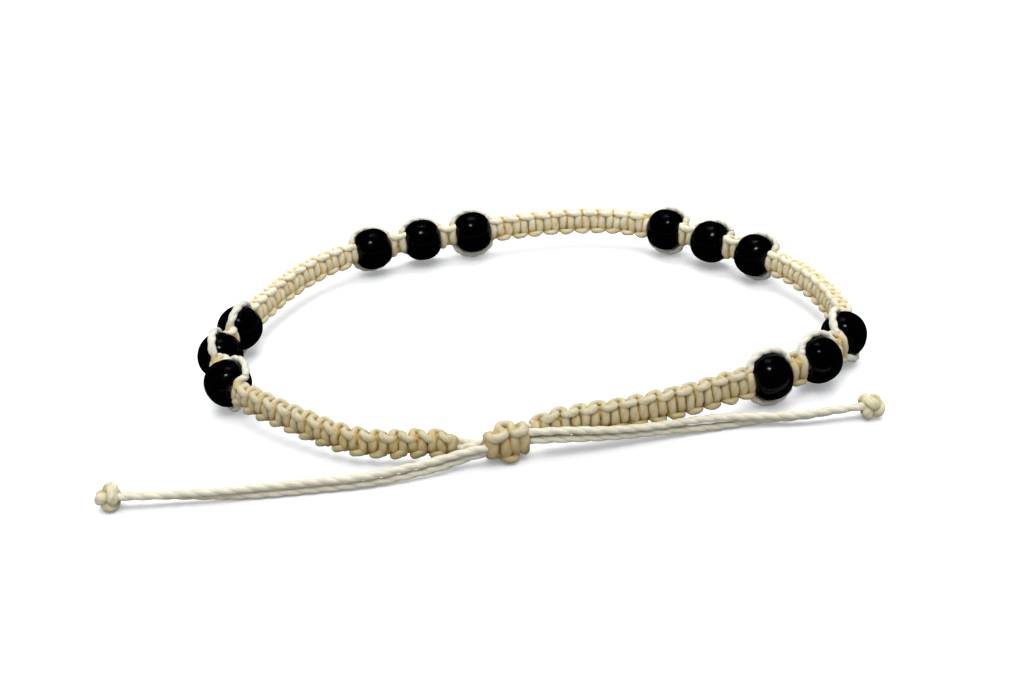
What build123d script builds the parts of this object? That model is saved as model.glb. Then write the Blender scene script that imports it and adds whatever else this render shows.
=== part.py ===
from build123d import *

import os
from collections import namedtuple
from math import atan2, degrees, pi, radians, sqrt, tan

import numpy as np

# A knotted cord anklet lying on a flat surface: five bands of square knots that stand on edge, four groups of
# three drilled beads, a sliding knot that closes the loop, and two loose tails that end in a knot.
# Millimetres, +Z up. The surface is z = 0 and the origin is the middle of the loop's footprint.

os.makedirs("parts", exist_ok=True)

# Cord. Two core cords run one above the other through the whole loop.
cord_diameter = 0.9
core_gap = 0.1
cord_bend_share = 0.45  # of the shorter run beside a bend of a loose cord, taken up by the bend's arc

# Beads: balls with a hole and a small flat round each end of it
bead_diameter = 6.0
bead_flat = 0.5
bead_hole_clearance = 0.15
bead_edge_fillet = 0.15

# Square knots of the bands
half_knot = 1.18  # length along the band of each half of a square knot
band_height = 3.7
band_thickness = 2.3
band_waist = 1.9  # thickness where two half knots meet
band_scallop = 0.24  # step of the band's edge from one half knot to the next
band_corner = 0.5
spacer_length = 2.36  # of the small knot between two beads, of whole half knots

# Sliding knot, tied round the core cords and the tails
slide_length = 5.6
slide_half_knot = 1.4
slide_height = 4.4
slide_end_height = 3.4
slide_thickness = 3.3
slide_waist = 3.0
slide_scallop = 0.3
slide_corner = 0.7
slide_out = 0.6  # its middle lies this far outside the loop's line, because it also holds the tails
slide_down = 0.3  # and this far below it

# Clearances and bare stretches along the loop
seat_gap = 0.1  # from a bead's flat to the knot beside it
side_cord_clearance = 0.05  # under a cord that passes over a bead
side_cord_end_gap = 0.08
bore_clearance = 0.1  # round the core cords inside a small knot
closure_gap_left = 3.2  # bare core between the sliding knot and the front left band
closure_gap_right = 0.6

# Overhand knots that end the tails
end_knot_diameter = 3.3
end_knot_length = 3.1  # of whole turns, each about as wide as the cord
end_knot_mouth = 2.3  # diameter of the flat ends, where the two strands go in
end_knot_groove = 0.3

# The bands in their order from the sliding knot round to it again, with the group of beads after each one
Stretch = namedtuple("Stretch", "band half_knots group beads")
stretches = [
    Stretch("band_front_left", 27, "left", 3),
    Stretch("band_left", 20, "back_left", 3),
    Stretch("band_back", 21, "back_right", 3),
    Stretch("band_right", 18, "right", 3),
    Stretch("band_front_right", 24, None, 0),
]

# Guide points of the loop, in the same order. The loop's line is the closed even cubic B-spline that they
# steer, brought to the length of the pieces on it. Its sag below the beads' middles is a share of the drop to
# the sliding knot, which rests on the surface.
Guide = namedtuple("Guide", "x y sag")
loop_guides = [
    Guide(-3.5, -28.0, 0.9),
    Guide(-6.5, -29.5, 1.05),
    Guide(-13.5, -28.0, 0.85),
    Guide(-21.5, -28.5, 0.9),
    Guide(-29.5, -23.0, 0.15),
    Guide(-38.0, -16.5, 0.0),
    Guide(-42.0, -7.0, 0.0),
    Guide(-38.0, 4.0, 0.0),
    Guide(-32.5, 16.0, 0.0),
    Guide(-24.5, 23.5, 0.0),
    Guide(-10.5, 26.5, 0.0),
    Guide(4.0, 30.0, 0.0),
    Guide(16.5, 29.0, 0.0),
    Guide(26.5, 20.5, 0.0),
    Guide(37.0, 11.5, 0.0),
    Guide(41.5, 0.0, 0.0),
    Guide(41.5, -11.0, 0.0),
    Guide(35.5, -17.0, 0.0),
    Guide(26.0, -20.5, 0.0),
    Guide(16.0, -24.5, 0.2),
    Guide(6.0, -26.5, 0.2),
    Guide(-1.0, -27.5, 0.4),
]

# Routes of the tail strands, from inside the sliding knot to the middle of their end knot
tail_routes = {
    "left": {
        "upper": [
            (-5.2, -30.35, 3.0),
            (-8.2, -30.5, 2.6),
            (-11.2, -31.0, 2.05),
            (-15.0, -32.1, 1.85),
            (-20.0, -33.4, 1.7),
            (-26.0, -33.8, 1.6),
            (-32.0, -34.2, 1.6),
            (-37.5, -34.9, 1.7),
            (-42.5, -35.1, 1.75),
            (-46.8, -35.2, 1.8),
            (-50.3, -35.1, 1.9),
        ],
        "lower": [
            (-5.2, -29.9, 2.05),
            (-8.2, -30.1, 1.55),
            (-11.2, -31.1, 1.0),
            (-15.0, -32.2, 0.8),
            (-20.0, -33.3, 0.6),
            (-26.0, -33.7, 0.5),
            (-32.0, -34.2, 0.5),
            (-37.5, -34.4, 0.7),
            (-42.5, -34.2, 1.0),
            (-46.8, -34.3, 1.3),
            (-50.3, -34.2, 1.4),
        ],
    },
    "right": {
        "upper": [
            (-2.4, -28.5, 3.5),
            (0.9, -29.1, 3.95),
            (4.9, -28.7, 3.6),
            (8.5, -28.1, 3.0),
            (12.0, -27.3, 2.55),
            (16.0, -26.3, 2.25),
            (20.0, -25.1, 1.95),
            (24.0, -24.5, 1.7),
            (28.0, -24.8, 1.75),
            (32.5, -25.1, 1.8),
            (37.0, -24.3, 1.85),
            (41.3, -23.9, 1.9),
        ],
        "lower": [
            (-2.4, -28.6, 2.4),
            (0.9, -29.1, 2.8),
            (4.9, -28.6, 2.4),
            (8.5, -27.9, 1.9),
            (12.0, -27.0, 1.5),
            (16.0, -26.1, 1.2),
            (20.0, -25.2, 0.7),
            (24.0, -24.4, 0.5),
            (28.0, -23.9, 0.75),
            (32.5, -24.2, 1.0),
            (37.0, -23.5, 1.2),
            (41.3, -23.0, 1.4),
        ],
    },
}

# Sizes that follow from the ones above
core_spacing = cord_diameter + core_gap
core_height = core_spacing + cord_diameter
bead_hole_diameter = core_height + 2 * bead_hole_clearance
bead_flat_diameter = bead_hole_diameter + 2 * bead_flat
bead_length = sqrt(bead_diameter**2 - bead_flat_diameter**2)
seat_reach = bead_length / 2 + seat_gap
bead_pitch = 2 * seat_reach + spacer_length
spacer_half_knots = round(spacer_length / half_knot)
slide_half_knots = round(slide_length / slide_half_knot)
end_knot_turns = round(end_knot_length / cord_diameter)
side_cord_radius = bead_diameter / 2 + side_cord_clearance + cord_diameter / 2
ring_height = side_cord_radius + cord_diameter / 2  # beads' middles, which lie on their lower side cords
closure_drop = ring_height - slide_height / 2 - slide_down

# The side cords of a bead end on the slopes of the knots beside it, which point at the bead's middle
seat_slope = (band_height / 2) / (seat_reach + half_knot / 2)
knot_end_height = 2 * seat_reach * seat_slope

# Places along the loop of each band's two ends and of each bead's middle
band_spans = {}
bead_places = {}
place = slide_length / 2 + closure_gap_left
for stretch in stretches:
    band_end = place + stretch.half_knots * half_knot
    band_spans[stretch.band] = (place, band_end)
    place = band_end
    if stretch.beads:
        first_bead = place + seat_reach
        bead_places[stretch.group] = [first_bead + number * bead_pitch for number in range(stretch.beads)]
        place = bead_places[stretch.group][-1] + seat_reach
loop_length = place + closure_gap_right + slide_length / 2


def loop_samples(guides, length, steps=60):
    """Points x, y, sag along the closed B-spline of the guides, scaled in plan to a length, and the length at
    which each one lies."""
    shares = np.linspace(0, 1, steps, endpoint=False)
    weights = [
        (1 - shares) ** 3,
        3 * shares**3 - 6 * shares**2 + 4,
        -3 * shares**3 + 3 * shares**2 + 3 * shares + 1,
        shares**3,
    ]
    samples = 0
    for ahead, weight in enumerate(weights, start=-1):
        steering = np.roll(np.array(guides), -ahead, axis=0)
        samples = samples + weight[None, :, None] * steering[:, None, :] / 6
    samples = samples.reshape(-1, 3)
    samples = np.vstack([samples, samples[:1]])
    steps_in_plan = np.linalg.norm(np.diff(samples[:, :2], axis=0), axis=1)
    lengths = np.concatenate([[0], np.cumsum(steps_in_plan)])
    scale = length / lengths[-1]
    samples[:, :2] *= scale
    return samples, lengths * scale


samples, sample_lengths = loop_samples(loop_guides, loop_length)


def loop_point(place):
    """Point of the loop's line at a place along it."""
    x, y, sag = (np.interp(place % loop_length, sample_lengths, column) for column in samples.T)
    return Vector(x, y, ring_height - closure_drop * sag)


def upright_plane(origin, along):
    """Plane across a direction, with its local x up and its local y to the inside of the loop."""
    return Plane(origin=origin, x_dir=(0, 0, 1), z_dir=along)


def loop_plane(place, reach=0.2):
    """Upright plane across the loop at a place, square to the loop's direction in plan."""
    along = loop_point(place + reach) - loop_point(place - reach)
    return upright_plane(loop_point(place), Vector(along.X, along.Y, 0))


def plane_between(start, end, share):
    """Upright plane at a share of the way from one plane to another, turned by the same share."""
    origin = start.origin * (1 - share) + end.origin * share
    return upright_plane(origin, start.z_dir * (1 - share) + end.z_dir * share)


def bead_plane(place):
    """Plane across a bead's hole, at the height at which its lower side cord touches the surface."""
    plane = loop_plane(place)
    plane.origin = Vector(plane.origin.X, plane.origin.Y, ring_height)
    return plane


bead_planes = {group: [bead_plane(place) for place in places] for group, places in bead_places.items()}

# Planes of the sliding knot's two faces, each square to the bare core cords that leave it
first_band = band_spans[stretches[0].band]
last_band = band_spans[stretches[-1].band]
left_core = [loop_point(slide_length / 2), loop_point(first_band[0])]
right_core = [loop_point(last_band[1]), loop_point(-slide_length / 2)]
left_core_planes = [upright_plane(point, left_core[1] - left_core[0]) for point in left_core]
right_core_planes = [upright_plane(point, right_core[1] - right_core[0]) for point in right_core]

# A section of a run of knots: its plane, how far it reaches above and below the plane's origin, its thickness
Section = namedtuple("Section", "plane up down thickness")


def knot_sections(planes, height, end_height, thickness, waist, scallop):
    """Sections through a run of half knots, on planes that stand where two of them meet and at each one's
    middle. The two edges step in by turns, and the first and last half knots keep their full height."""
    last_half_knot = len(planes) // 2 - 1
    sections = []
    for number, plane in enumerate(planes):
        knot, is_middle = divmod(number, 2)
        up = down = height / 2 - scallop / 2
        if number in (0, len(planes) - 1):
            up = down = end_height / 2
        elif is_middle:
            up = down = height / 2
            if 0 < knot < last_half_knot and knot % 2:
                up -= scallop
            elif 0 < knot < last_half_knot:
                down -= scallop
        sections.append(Section(plane, up, down, thickness if is_middle else waist))
    return sections


def make_knots(sections, corner, core_bore=False):
    """Solid of a run of knots, straight from each chamfered section to the next. The bore through a small
    knot is a slot for the two core cords."""
    with BuildPart() as knots:
        for section in sections:
            with BuildSketch(section.plane):
                with Locations(((section.up - section.down) / 2, 0)):
                    outline = Rectangle(section.up + section.down, section.thickness)
                chamfer(outline.vertices(), corner)
        loft(ruled=True)
        if core_bore:
            start = sections[0].plane.origin
            run = sections[-1].plane.origin - start
            with BuildSketch(upright_plane(start + run / 2, run)):
                SlotOverall(core_height + 2 * bore_clearance, cord_diameter + 2 * bore_clearance)
            extrude(amount=run.length, both=True, mode=Mode.SUBTRACT)
    return knots


def make_bead(plane):
    """Drilled ball, flattened and eased round both ends of its hole."""
    with BuildPart() as bead:
        with BuildSketch(Plane(origin=plane.origin, x_dir=plane.z_dir, z_dir=plane.y_dir)) as profile:
            with BuildLine():
                start = (-bead_length / 2, bead_flat_diameter / 2)
                end = (bead_length / 2, bead_flat_diameter / 2)
                ThreePointArc(start, (0, bead_diameter / 2), end)
                hole_end = (bead_length / 2, bead_hole_diameter / 2)
                hole_start = (-bead_length / 2, bead_hole_diameter / 2)
                Polyline(end, hole_end, hole_start, start)
            make_face()
            fillet(profile.vertices(), bead_edge_fillet)
        revolve(axis=Axis(plane.origin, plane.z_dir))
    return bead


def make_side_cords(planes, side):
    """Cords that arch over each bead of a group, or with side -1 under it, from slope to slope."""
    start_angle = degrees(atan2(seat_slope, 1) + side_cord_end_gap / side_cord_radius)
    with BuildPart() as cords:
        for plane in planes:
            with BuildLine(Plane(origin=plane.origin, x_dir=plane.z_dir, z_dir=plane.y_dir * side)) as arc:
                CenterArc((0, 0), side_cord_radius, start_angle, 180 - 2 * start_angle)
            with BuildSketch(Plane(origin=arc.line @ 0, z_dir=arc.line % 0)):
                Circle(cord_diameter / 2)
            sweep(path=arc.line)
    return cords


def corner_radii(points):
    """Radii that make each corner's arc as large as its two runs allow: a share of the shorter run over the
    tangent of half the turn."""
    radii = []
    for before, corner, after in zip(points, points[1:], points[2:]):
        arriving = corner - before
        leaving = after - corner
        half_turn = radians(arriving.get_angle(leaving)) / 2
        radii.append(cord_bend_share * min(arriving.length, leaving.length) / tan(half_turn))
    return radii


def make_thread(planes):
    """The two core cords of a group, straight through each bead and each small knot."""
    with BuildPart() as thread:
        for height in (core_spacing / 2, -core_spacing / 2):
            seats = [(height, 0, -seat_reach), (height, 0, seat_reach)]
            points = [plane.from_local_coords(seat) for plane in planes for seat in seats]
            with BuildLine() as path:
                FilletPolyline(*points, radius=corner_radii(points))
            with BuildSketch(Plane(origin=path.line @ 0, z_dir=path.line % 0)):
                Circle(cord_diameter / 2)
            sweep(path=path.line)
    return thread


def make_bare_core(start, end):
    """The two core cords, straight from one plane to the next."""
    with BuildPart() as core:
        with BuildSketch(start):
            with GridLocations(core_spacing, 0, 2, 1):
                Circle(cord_diameter / 2)
        extrude(amount=(end.origin - start.origin).length)
    return core


def make_end_knot(middle, heading):
    """Overhand knot round the two strands of a tail: rounded turns side by side, with a flat at each end."""
    turn_length = end_knot_length / end_knot_turns
    edges = [-end_knot_length / 2 + number * turn_length for number in range(end_knot_turns + 1)]
    groove_radius = end_knot_diameter / 2 - end_knot_groove
    radii = [end_knot_mouth / 2, *[groove_radius] * (end_knot_turns - 1), end_knot_mouth / 2]
    corners = list(zip(edges, radii))
    with BuildPart() as knot:
        with BuildSketch(Plane(origin=middle, x_dir=heading, z_dir=(0, 0, 1))):
            with BuildLine():
                for start, end in zip(corners, corners[1:]):
                    ThreePointArc(start, ((start[0] + end[0]) / 2, end_knot_diameter / 2), end)
                Polyline(corners[-1], (edges[-1], 0), (edges[0], 0), corners[0])
            make_face()
        revolve(axis=Axis(middle, heading))
    return knot


def make_tail(points, knots):
    """A tail strand, cut off where it goes into the knots at its two ends."""
    with BuildPart() as tail:
        with BuildLine() as path:
            FilletPolyline(*points, radius=corner_radii(points))
        with BuildSketch(Plane(origin=path.line @ 0, z_dir=path.line % 0)):
            Circle(cord_diameter / 2)
        sweep(path=path.line)
        length = path.wires()[0].length
        tube_volume = pi * cord_diameter**2 / 4 * length
        print("radii", [round(radius, 1) for radius in corner_radii(points)], "length", round(length, 1))
        print("volume over section times length", round(tail.part.volume / tube_volume, 4))
        for knot in knots:
            add(knot.part, mode=Mode.SUBTRACT)
    return tail


def save(piece, name):
    piece.part.label = name
    export_step(piece.part, f"parts/{name}.step")


# Beads, the small knots between them, the core thread and the side cords of each group
band_sizes = (band_height, knot_end_height, band_thickness, band_waist, band_scallop)
for group, planes in bead_planes.items():
    for number, plane in enumerate(planes, start=1):
        save(make_bead(plane), f"bead_{group}_{number}")
    for number, (before, after) in enumerate(zip(planes, planes[1:]), start=1):
        start = before.offset(seat_reach)
        end = after.offset(-seat_reach)
        shares = np.linspace(0, 1, 2 * spacer_half_knots + 1)
        between = [plane_between(start, end, share) for share in shares]
        small_knot = make_knots(knot_sections(between, *band_sizes), band_corner, core_bore=True)
        save(small_knot, f"knot_{group}_{number}")
    save(make_thread(planes), f"thread_{group}")
    save(make_side_cords(planes, 1), f"upper_cord_{group}")
    save(make_side_cords(planes, -1), f"lower_cord_{group}")

# Woven bands, each from its plane at one end to its plane at the other
first_planes = [left_core_planes[1], *[planes[-1].offset(seat_reach) for planes in bead_planes.values()]]
last_planes = [*[planes[0].offset(-seat_reach) for planes in bead_planes.values()], right_core_planes[0]]
for stretch, first_plane, last_plane in zip(stretches, first_planes, last_planes):
    places = np.linspace(*band_spans[stretch.band], 2 * stretch.half_knots + 1)
    planes = [first_plane, *[loop_plane(place) for place in places[1:-1]], last_plane]
    save(make_knots(knot_sections(planes, *band_sizes), band_corner), stretch.band)

# Sliding knot and the bare core cords on both sides of it
places = np.linspace(slide_length / 2, -slide_length / 2, 2 * slide_half_knots + 1)
planes = [left_core_planes[0], *[loop_plane(place) for place in places[1:-1]], right_core_planes[1]]
slide_planes = [
    Plane(origin=plane.from_local_coords((-slide_down, -slide_out, 0)), x_dir=plane.x_dir, z_dir=plane.z_dir)
    for plane in planes
]
slide_sizes = (slide_height, slide_end_height, slide_thickness, slide_waist, slide_scallop)
sliding_knot = make_knots(knot_sections(slide_planes, *slide_sizes), slide_corner)
save(sliding_knot, "sliding_knot")
save(make_bare_core(*left_core_planes), "core_closure_left")
save(make_bare_core(*right_core_planes), "core_closure_right")

# Tails and their end knots, which rest on the surface
for side, strands in tail_routes.items():
    routes = {name: [Vector(*point) for point in route] for name, route in strands.items()}
    middle = sum((route[-1] for route in routes.values()), Vector()) / len(routes)
    arriving = sum((route[-1] - route[-2] for route in routes.values()), Vector())
    middle.Z = end_knot_diameter / 2
    end_knot = make_end_knot(middle, Vector(arriving.X, arriving.Y, 0))
    save(end_knot, f"end_knot_{side}")
    for name, route in routes.items():
        print(f"tail_{side}_{name}")
        save(make_tail(route, [sliding_knot, end_knot]), f"tail_{side}_{name}")

print("loop length", round(loop_length, 2), "bead length", round(bead_length, 2), "ring height", ring_height)
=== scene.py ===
# %% [markdown]
# # A knotted anklet with black beads
#
# The real thing is made by hand from waxed cord, about 0.9 mm thick. Two core cords run through all of it.
# Two working cords are tied round them in square knots, one after the other, and that makes the woven bands.
# Between the bands the core cords carry three beads, and the working cords pass over and under each bead. A
# sliding knot holds the two ends together, and the four loose strands that leave it end in two small knots.
#
# So nearly everything here is one thing: a twisted cord that follows a line. The lesson works out each line
# with numpy, lays the same twisted skin along all of them, and gives the skin one family of waxed finishes.

import math

import bpy
import numpy as np
from mathutils import Matrix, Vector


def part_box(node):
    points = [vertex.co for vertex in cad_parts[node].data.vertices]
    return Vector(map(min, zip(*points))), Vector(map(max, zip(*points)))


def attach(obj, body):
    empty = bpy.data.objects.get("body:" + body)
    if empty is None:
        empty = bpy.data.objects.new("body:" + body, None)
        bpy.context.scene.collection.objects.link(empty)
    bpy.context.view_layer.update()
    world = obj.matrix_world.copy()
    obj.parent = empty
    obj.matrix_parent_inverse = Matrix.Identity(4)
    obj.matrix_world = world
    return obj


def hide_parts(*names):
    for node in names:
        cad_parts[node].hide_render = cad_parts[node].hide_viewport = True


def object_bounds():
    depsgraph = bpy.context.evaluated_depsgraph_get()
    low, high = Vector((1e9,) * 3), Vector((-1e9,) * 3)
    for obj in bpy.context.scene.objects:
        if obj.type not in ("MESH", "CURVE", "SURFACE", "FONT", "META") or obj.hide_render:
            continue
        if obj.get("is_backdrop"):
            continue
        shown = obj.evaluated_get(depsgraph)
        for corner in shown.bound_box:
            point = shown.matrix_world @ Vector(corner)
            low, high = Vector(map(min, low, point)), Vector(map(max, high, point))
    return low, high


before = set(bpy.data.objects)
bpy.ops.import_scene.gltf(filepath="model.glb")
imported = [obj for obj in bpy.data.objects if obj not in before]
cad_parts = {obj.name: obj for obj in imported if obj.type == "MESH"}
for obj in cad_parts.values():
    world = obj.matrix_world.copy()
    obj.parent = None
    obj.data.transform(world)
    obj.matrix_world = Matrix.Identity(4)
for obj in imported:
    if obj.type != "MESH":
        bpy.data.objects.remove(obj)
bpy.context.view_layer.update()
scene = bpy.context.scene
mm = 0.001  # sizes are in millimetres here, and meshes in metres

# %% [markdown]
# ## Camera
#
# The anklet is seen from the front, from about thirty degrees above the table, with a short tele lens close
# by. Its few numbers were found by fitting the twelve beads: how far it stands from the point that it aims
# at, how steeply it looks down, how far it leans to one side, and its focal length. The lean is an ordinary
# roll, so the camera's own axes are turned by it.

# %% Camera
camera_distance = 221.1
camera_tilt = math.radians(29.2)  # below the horizon
camera_roll = math.radians(-3.03)
camera_target = np.array([-2.32, 0.26, 0.0])
focal_share = 1625.2 / 1024  # focal length over the picture's width

looking = np.array([0, math.cos(camera_tilt), -math.sin(camera_tilt)])
level_up = np.array([0, math.sin(camera_tilt), math.cos(camera_tilt)])
right = math.cos(camera_roll) * np.array([1, 0, 0]) + math.sin(camera_roll) * level_up
camera_place = camera_target - camera_distance * looking
matrix = np.eye(4)
matrix[:3, :3] = np.column_stack([right, np.cross(right, looking), -looking])
matrix[:3, 3] = camera_place * mm

camera_data = bpy.data.cameras.new("camera")
camera_data.sensor_width = 36
camera_data.lens = focal_share * camera_data.sensor_width
camera_data.clip_start = 0.01
camera = bpy.data.objects.new("camera", camera_data)
scene.collection.objects.link(camera)
camera.matrix_world = Matrix(matrix.tolist())
scene.camera = camera
print("lens", round(camera_data.lens, 1), "mm, camera at", camera_place.round(1), "mm")

# %% [markdown]
# ## Lines
#
# Every cord needs a line to follow: a smooth one, steered by a few guide points. Blender's own curves could
# do it, but for hundreds of knots it is quicker to have the formula at hand. The even cubic B-spline is the
# one that the solids use for the loop, so the same formula here brings the woven bands to the same place.

# %% Smooth lines through guide points
def spline(guides, steps, closed=False):
    """Points on the even cubic B-spline of a row of guides.

    Between the guides b and c, with a before them and d after them, the point at share t is
    ((1-t)^3 a + (3t^3 - 6t^2 + 4) b + (-3t^3 + 3t^2 + 3t + 1) c + t^3 d) / 6.
    An open line gets one more guide beyond each end, as far out as its neighbour is in, so that it starts and
    ends exactly on its first and last guide.
    """
    guides = np.asarray(guides, float)
    share = np.linspace(0, 1, steps, endpoint=False)[None, :, None]
    if closed:
        a, b, c, d = (np.roll(guides, -ahead, axis=0)[:, None] for ahead in (-1, 0, 1, 2))
    else:
        longer = np.vstack([2 * guides[0] - guides[1], guides, 2 * guides[-1] - guides[-2]])
        a, b, c, d = (longer[ahead : ahead + len(guides) - 1, None] for ahead in range(4))
    points = (1 - share) ** 3 * a + (3 * share**3 - 6 * share**2 + 4) * b
    points = points + (-3 * share**3 + 3 * share**2 + 3 * share + 1) * c + share**3 * d
    points = (points / 6).reshape(-1, guides.shape[1])
    last = points[:1] if closed else guides[-1:]
    return np.vstack([points, last])


def lengths_along(points):
    """How far along a line each of its points lies: the running sum of the distances between neighbours."""
    return np.concatenate([[0], np.cumsum(np.linalg.norm(np.diff(points[:, :3], axis=0), axis=1))])


def evenly(points, spacing):
    """The same line with points at an even spacing. Columns after x, y and z are carried along."""
    places = lengths_along(points)
    count = max(4, int(round(places[-1] / spacing)) + 1)
    wanted = np.linspace(0, places[-1], count)
    return np.column_stack([np.interp(wanted, places, column) for column in points.T])


# %% [markdown]
# ## The skin of a twisted cord
#
# Waxed cord is two yarns twisted round each other, so its section is two round lobes with a groove between
# them, and the lobes turn as they go along. It could be two thin tubes wound round each other, but a single
# skin with a lobed section costs half the faces, is closed, and bends as one piece. Its vertices turn with
# the twist, so each groove is a straight line in the skin's own UV map: U goes round the cord and V goes
# along it. That is what the finishes read later for the dark grooves and the fine fibres.
#
# Where cords press on each other they flatten a little, so the section can be squeezed along one direction.

# %% Twisted skin along a line
cord_width = 0.95
cord_lay = 3.0  # length in which the yarns turn once
cord_groove = 0.26  # depth of the groove between the yarns, as a share of the cord's radius
cord_sides = 14
ring_spacing = 0.15


def unit(vectors):
    """Vectors divided by their own length."""
    return vectors / np.maximum(np.linalg.norm(vectors, axis=-1, keepdims=True), 1e-9)


def twisted_skin(line, facing, width=cord_width, squeeze=1.0, spread=1.0, lay=cord_lay, start_turn=0.0,
                 groove=cord_groove):
    """Rings of points round a line: the skin of a two-yarn cord.

    At each point the frame is the line's direction t, the facing f made square to t, and s = t x f. The
    vertex at angle a, which is counted from the turning lobe, lies at the angle a + 2 pi length / lay and at
    the radius width / 2 times (1 - groove + groove |cos a|), squeezed along f and spread along s.
    """
    along = unit(np.gradient(line, axis=0))
    facing = unit(facing - np.sum(facing * along, axis=1, keepdims=True) * along)
    sideways = np.cross(along, facing)
    angle = np.linspace(0, 2 * np.pi, cord_sides, endpoint=False)[None]
    turned = angle + start_turn + 2 * np.pi * lengths_along(line)[:, None] / lay
    radius = width / 2 * (1 - groove + groove * np.abs(np.cos(angle)))
    to_front = (radius * np.cos(turned) * squeeze)[:, :, None] * facing[:, None]
    to_side = (radius * np.sin(turned) * spread)[:, :, None] * sideways[:, None]
    return line[:, None] + to_front + to_side


# %% [markdown]
# ## From rings to a mesh
#
# Several cords go into one mesh, because a band is one woven piece. Each ring of points is joined to the next
# with quads, and both ends are closed with one flat face. All indices are made as whole arrays: the quad
# between ring i and ring i+1 is the same for every cord, apart from where the cord's points start.

# %% Meshes from rings
def tube_faces(rings, sides, first):
    """Corner indices of the quads of one tube, in rows of four, and of its two end faces.

    Quad (i, j) has the corners (i, j), (i, j+1), (i+1, j+1), (i+1, j), which faces outwards for rings that
    turn to the left round their line.
    """
    i, j = np.meshgrid(np.arange(rings - 1), np.arange(sides), indexing="ij")
    after = (j + 1) % sides
    here, ahead = i * sides, (i + 1) * sides
    quads = np.stack([here + j, here + after, ahead + after, ahead + j], axis=-1)
    start_face = np.arange(sides)[::-1]
    end_face = (rings - 1) * sides + np.arange(sides)
    return first + quads.reshape(-1, 4), first + np.stack([start_face, end_face])


def tube_uv(lengths, sides):
    """UV of the corners of a tube's quads and ends. U is the share round the cord, V the length in cm."""
    i, j = np.meshgrid(np.arange(len(lengths) - 1), np.arange(sides), indexing="ij")
    u = np.stack([j, j + 1, j + 1, j], axis=-1) / sides
    v = np.stack([lengths[i], lengths[i], lengths[i + 1], lengths[i + 1]], axis=-1) / 10
    ends = np.repeat([[0.5, lengths[0] / 10], [0.5, lengths[-1] / 10]], sides, axis=0)
    return np.vstack([np.stack([u, v], axis=-1).reshape(-1, 2), ends])


def make_mesh(name, points, faces, uv, depth):
    """A mesh object from points in millimetres, arrays of faces, a UV per corner and a depth per point."""
    corners = np.concatenate([array.ravel() for array in faces])
    sizes = np.concatenate([np.full(len(array), array.shape[1]) for array in faces])
    mesh = bpy.data.meshes.new(name)
    mesh.vertices.add(len(points))
    mesh.vertices.foreach_set("co", (points * mm).astype(np.float32).ravel())
    mesh.loops.add(len(corners))
    mesh.loops.foreach_set("vertex_index", corners.astype(np.int32))
    mesh.polygons.add(len(sizes))
    mesh.polygons.foreach_set("loop_start", np.concatenate([[0], np.cumsum(sizes)[:-1]]).astype(np.int32))
    mesh.update(calc_edges=True)
    mesh.uv_layers.new(name="skin").data.foreach_set("uv", uv.astype(np.float32).ravel())
    mesh.attributes.new("depth", "FLOAT", "POINT").data.foreach_set("value", depth.astype(np.float32).ravel())
    mesh.shade_smooth()
    piece = bpy.data.objects.new(name, mesh)
    scene.collection.objects.link(piece)
    return piece


def cords_mesh(name, skins, depths=None):
    """One mesh from the rings of several cords. A cord's depth says how far its points lie inside a knot."""
    sides = skins[0].shape[1]
    firsts = np.cumsum([0] + [skin.shape[0] * sides for skin in skins])
    made = [tube_faces(len(skin), sides, first) for skin, first in zip(skins, firsts)]
    uv = [tube_uv(lengths_along(skin.mean(axis=1)), sides) for skin in skins]
    points = np.vstack([skin.reshape(-1, 3) for skin in skins])
    if depths is None:
        depths = [np.zeros(skin.shape[:2]) for skin in skins]
    faces = [array for pair in made for array in pair]
    return make_mesh(name, points, faces, np.vstack(uv), np.concatenate([array.ravel() for array in depths]))


def dress(piece, finish, solid):
    """Gives a piece its finish, tells the frame where it rides, and hides the solid that it stands for."""
    piece.data.materials.append(finish)
    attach(piece, "root")
    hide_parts(solid)
    print(piece.name, len(piece.data.polygons), "faces")


# %% [markdown]
# ## Shader nodes
#
# A finish is a small network of nodes. Each helper adds one node and returns its output, so that a network
# reads like a formula.

# %% Shader nodes
def fill(tree, made, inputs):
    """Fills the inputs of a shader node: a socket is linked, and anything else is the input's value."""
    for key, value in inputs.items():
        if isinstance(value, bpy.types.NodeSocket):
            tree.links.new(value, made.inputs[key])
        else:
            made.inputs[key].default_value = value


def node(tree, kind, inputs=None, **settings):
    """Adds a shader node, sets its properties and fills its inputs."""
    made = tree.nodes.new(kind)
    for key, value in settings.items():
        setattr(made, key, value)
    fill(tree, made, inputs or {})
    return made


def maths(tree, operation, *values):
    """Output of a node that calculates with one or two numbers."""
    return node(tree, "ShaderNodeMath", dict(enumerate(values)), operation=operation).outputs[0]


def times(tree, first, second):
    """Output of a node that multiplies two vectors or colours."""
    return node(tree, "ShaderNodeVectorMath", {0: first, 1: second}, operation="MULTIPLY").outputs[0]


def mapped(tree, value, low, high, to_low=0.0, to_high=1.0, **settings):
    """Output of a node that maps low to to_low and high to to_high, and holds what lies outside them."""
    ends = {"Value": value, "From Min": low, "From Max": high, "To Min": to_low, "To Max": to_high}
    return node(tree, "ShaderNodeMapRange", ends, **settings).outputs[0]


def mixed(tree, share, first, second):
    """Output of a node that goes from the first colour to the second by a share."""
    colours = {"Factor": share, "A": first, "B": second}
    return node(tree, "ShaderNodeMix", colours, data_type="RGBA").outputs["Result"]


def noise(tree, place, scale, detail):
    """Output of a cloudy noise."""
    inputs = {"Vector": place, "Scale": scale, "Detail": detail}
    return node(tree, "ShaderNodeTexNoise", inputs).outputs["Fac"]


def new_finish(name):
    """A new material, its node tree and its main shader."""
    material = bpy.data.materials.new(name)
    material.use_nodes = True
    return material, material.node_tree, material.node_tree.nodes["Principled BSDF"]
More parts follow.
